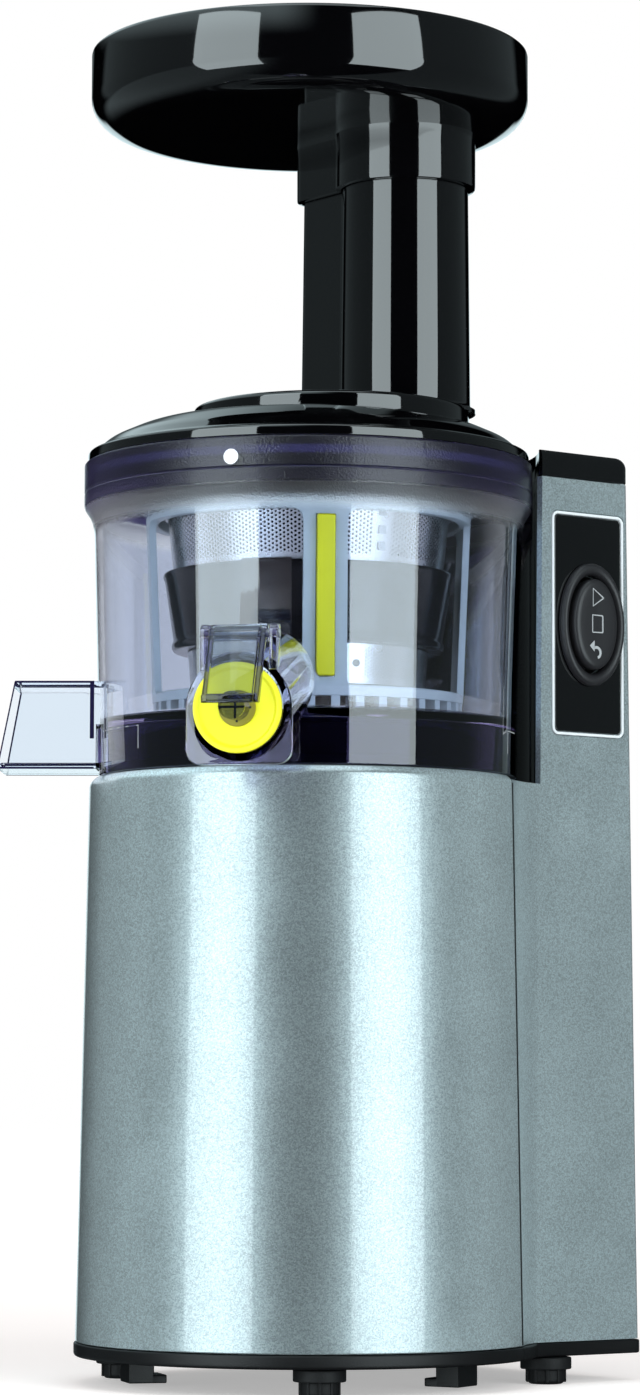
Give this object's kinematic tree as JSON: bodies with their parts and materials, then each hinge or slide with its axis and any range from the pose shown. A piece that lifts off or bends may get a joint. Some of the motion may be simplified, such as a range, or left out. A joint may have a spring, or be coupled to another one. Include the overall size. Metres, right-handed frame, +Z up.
{
  "type": "cold press juicer",
  "caption": "Vertical slow juicer: silver motor base with a rear switch column, tinted clear bowl with strainer, screw and brush, hinged spout cap, black lid, feed tube and tray.",
  "frame": {"origin": "on the ground plane under the middle of the object's bounding box", "axes": "+Z up, -Y towards the front, +X towards the side with the switch"},
  "size_m": [0.152, 0.1868, 0.4214],
  "materials": {
    "silver": "metallic silver paint",
    "black_gloss": "polished",
    "black_plastic": "satin",
    "tinted_clear": "clear, violet tint",
    "clear": "clear",
    "smoke": "dark smoke",
    "translucent": "translucent",
    "yellow": "soft silicone",
    "steel_mesh": "perforated",
    "steel": "ground",
    "copper": "enamelled wire",
    "laminate": "stacked sheets",
    "cast_metal": "die cast",
    "gear_plastic": "moulded",
    "bronze": "sintered",
    "rubber": "matt",
    "silicone": "soft",
    "board": "laminate",
    "blue": "sleeve",
    "bright_line": "bright"
  },
  "bodies": {
    "base": {"base_plate": "black_plastic", "foot_front_left": "rubber", "foot_front_right": "rubber", "foot_rear_left": "rubber", "foot_rear_right": "rubber", "front_shell": "silver", "column_shell": "silver", "column_cap": "black_gloss", "column_liner": "black_gloss", "top_deck": "black_plastic", "cord_inlet": "rubber", "panel_plate": "black_gloss", "panel_frame": "bright_line", "rocker_bezel": "black_gloss", "rocker_pin": "steel", "switch_housing": "black_plastic", "control_board": "board", "board_capacitor": "blue", "motor_can": "cast_metal", "motor_end_bell": "cast_metal", "motor_bearing_lower": "steel", "motor_bearing_upper": "steel", "stator_core": "laminate", "stator_winding": "copper", "gearbox_housing": "cast_metal", "gearbox_cover": "cast_metal", "counter_bush_lower": "bronze", "counter_bush_upper": "bronze", "output_bearing_lower": "steel", "output_bearing_upper": "steel", "gearbox_screw_1": "steel", "gearbox_screw_2": "steel", "gearbox_screw_3": "steel", "gearbox_screw_4": "steel"},
    "rotor": {"rotor_core": "laminate", "motor_shaft": "steel", "cooling_fan": "black_plastic"},
    "countershaft": {"counter_gear": "gear_plastic", "counter_pinion": "steel"},
    "drive": {"output_gear": "gear_plastic", "drive_shaft": "steel"},
    "rocker": {"rocker_switch": "black_plastic"},
    "bowl": {"bowl": "tinted_clear", "bowl_seal": "silicone", "cap_pin": "steel"},
    "spout_cap": {"cap_lever": "clear", "spout_plug": "yellow"},
    "idler": {"brush_idler_gear": "translucent"},
    "strainer": {"strainer_base": "smoke", "strainer_mesh_lower": "steel_mesh", "strainer_band": "smoke", "strainer_mesh_upper": "steel_mesh"},
    "auger": {"screw_auger": "smoke"},
    "brush": {"brush_frame": "translucent", "brush_blade_front": "yellow", "brush_blade_rear": "yellow"},
    "lid": {"lid": "black_gloss", "lid_seal": "silicone"},
    "tray": {"feed_tray": "black_gloss"}
  },
  "joints": [
    {"name": "rotor_spin", "type": "hinge", "parent": "base", "child": "rotor", "pos_m": [-0.00353, -0.00365, 0.08], "axis": [0, 0, 1], "continuous": true},
    {"name": "countershaft_spin", "type": "hinge", "parent": "base", "child": "countershaft", "pos_m": [-0.00353, 0.02935, 0.14], "axis": [0, 0, 1], "continuous": true},
    {"name": "drive_spin", "type": "hinge", "parent": "base", "child": "drive", "pos_m": [-0.00353, -0.00365, 0.18], "axis": [0, 0, 1], "continuous": true},
    {"name": "rocker_tilt", "type": "hinge", "parent": "base", "child": "rocker", "pos_m": [0.04227, 0.07085, 0.2387], "axis": [0, 1, 0], "range_deg": [-8, 8]},
    {"name": "bowl_lift", "type": "slide", "parent": "base", "child": "bowl", "axis": [0, 0, 1], "range_m": [0, 0.06]},
    {"name": "spout_cap_hinge", "type": "hinge", "parent": "bowl", "child": "spout_cap", "pos_m": [0.05945, -0.0761, 0.2253], "axis": [-0.7547, -0.6561, 0], "range_deg": [0, 110]},
    {"name": "idler_spin", "type": "hinge", "parent": "bowl", "child": "idler", "pos_m": [-0.00353, 0.02855, 0.208], "axis": [0, 0, 1], "continuous": true},
    {"name": "lid_lift", "type": "slide", "parent": "bowl", "child": "lid", "axis": [0, 0, 1], "range_m": [0, 0.17]},
    {"name": "strainer_lift", "type": "slide", "parent": "bowl", "child": "strainer", "axis": [0, 0, 1], "range_m": [0, 0.085]},
    {"name": "auger_spin", "type": "hinge", "parent": "strainer", "child": "auger", "pos_m": [-0.00353, -0.00365, 0.24], "axis": [0, 0, 1], "continuous": true},
    {"name": "brush_spin", "type": "hinge", "parent": "strainer", "child": "brush", "pos_m": [-0.00353, -0.00365, 0.24], "axis": [0, 0, 1], "continuous": true},
    {"name": "tray_lift", "type": "slide", "parent": "lid", "child": "tray", "axis": [0, 0, 1], "range_m": [0, 0.03]}
  ],
  "couplings": [
    {"joint": "countershaft_spin", "follows": "rotor_spin", "ratio": -0.22222},
    {"joint": "drive_spin", "follows": "rotor_spin", "ratio": 0.049383},
    {"joint": "auger_spin", "follows": "rotor_spin", "ratio": 0.049383},
    {"joint": "idler_spin", "follows": "rotor_spin", "ratio": -0.065844},
    {"joint": "brush_spin", "follows": "rotor_spin", "ratio": -0.019753},
    {"joint": "strainer_lift", "follows": "lid_lift", "ratio": 0.5}
  ]
}
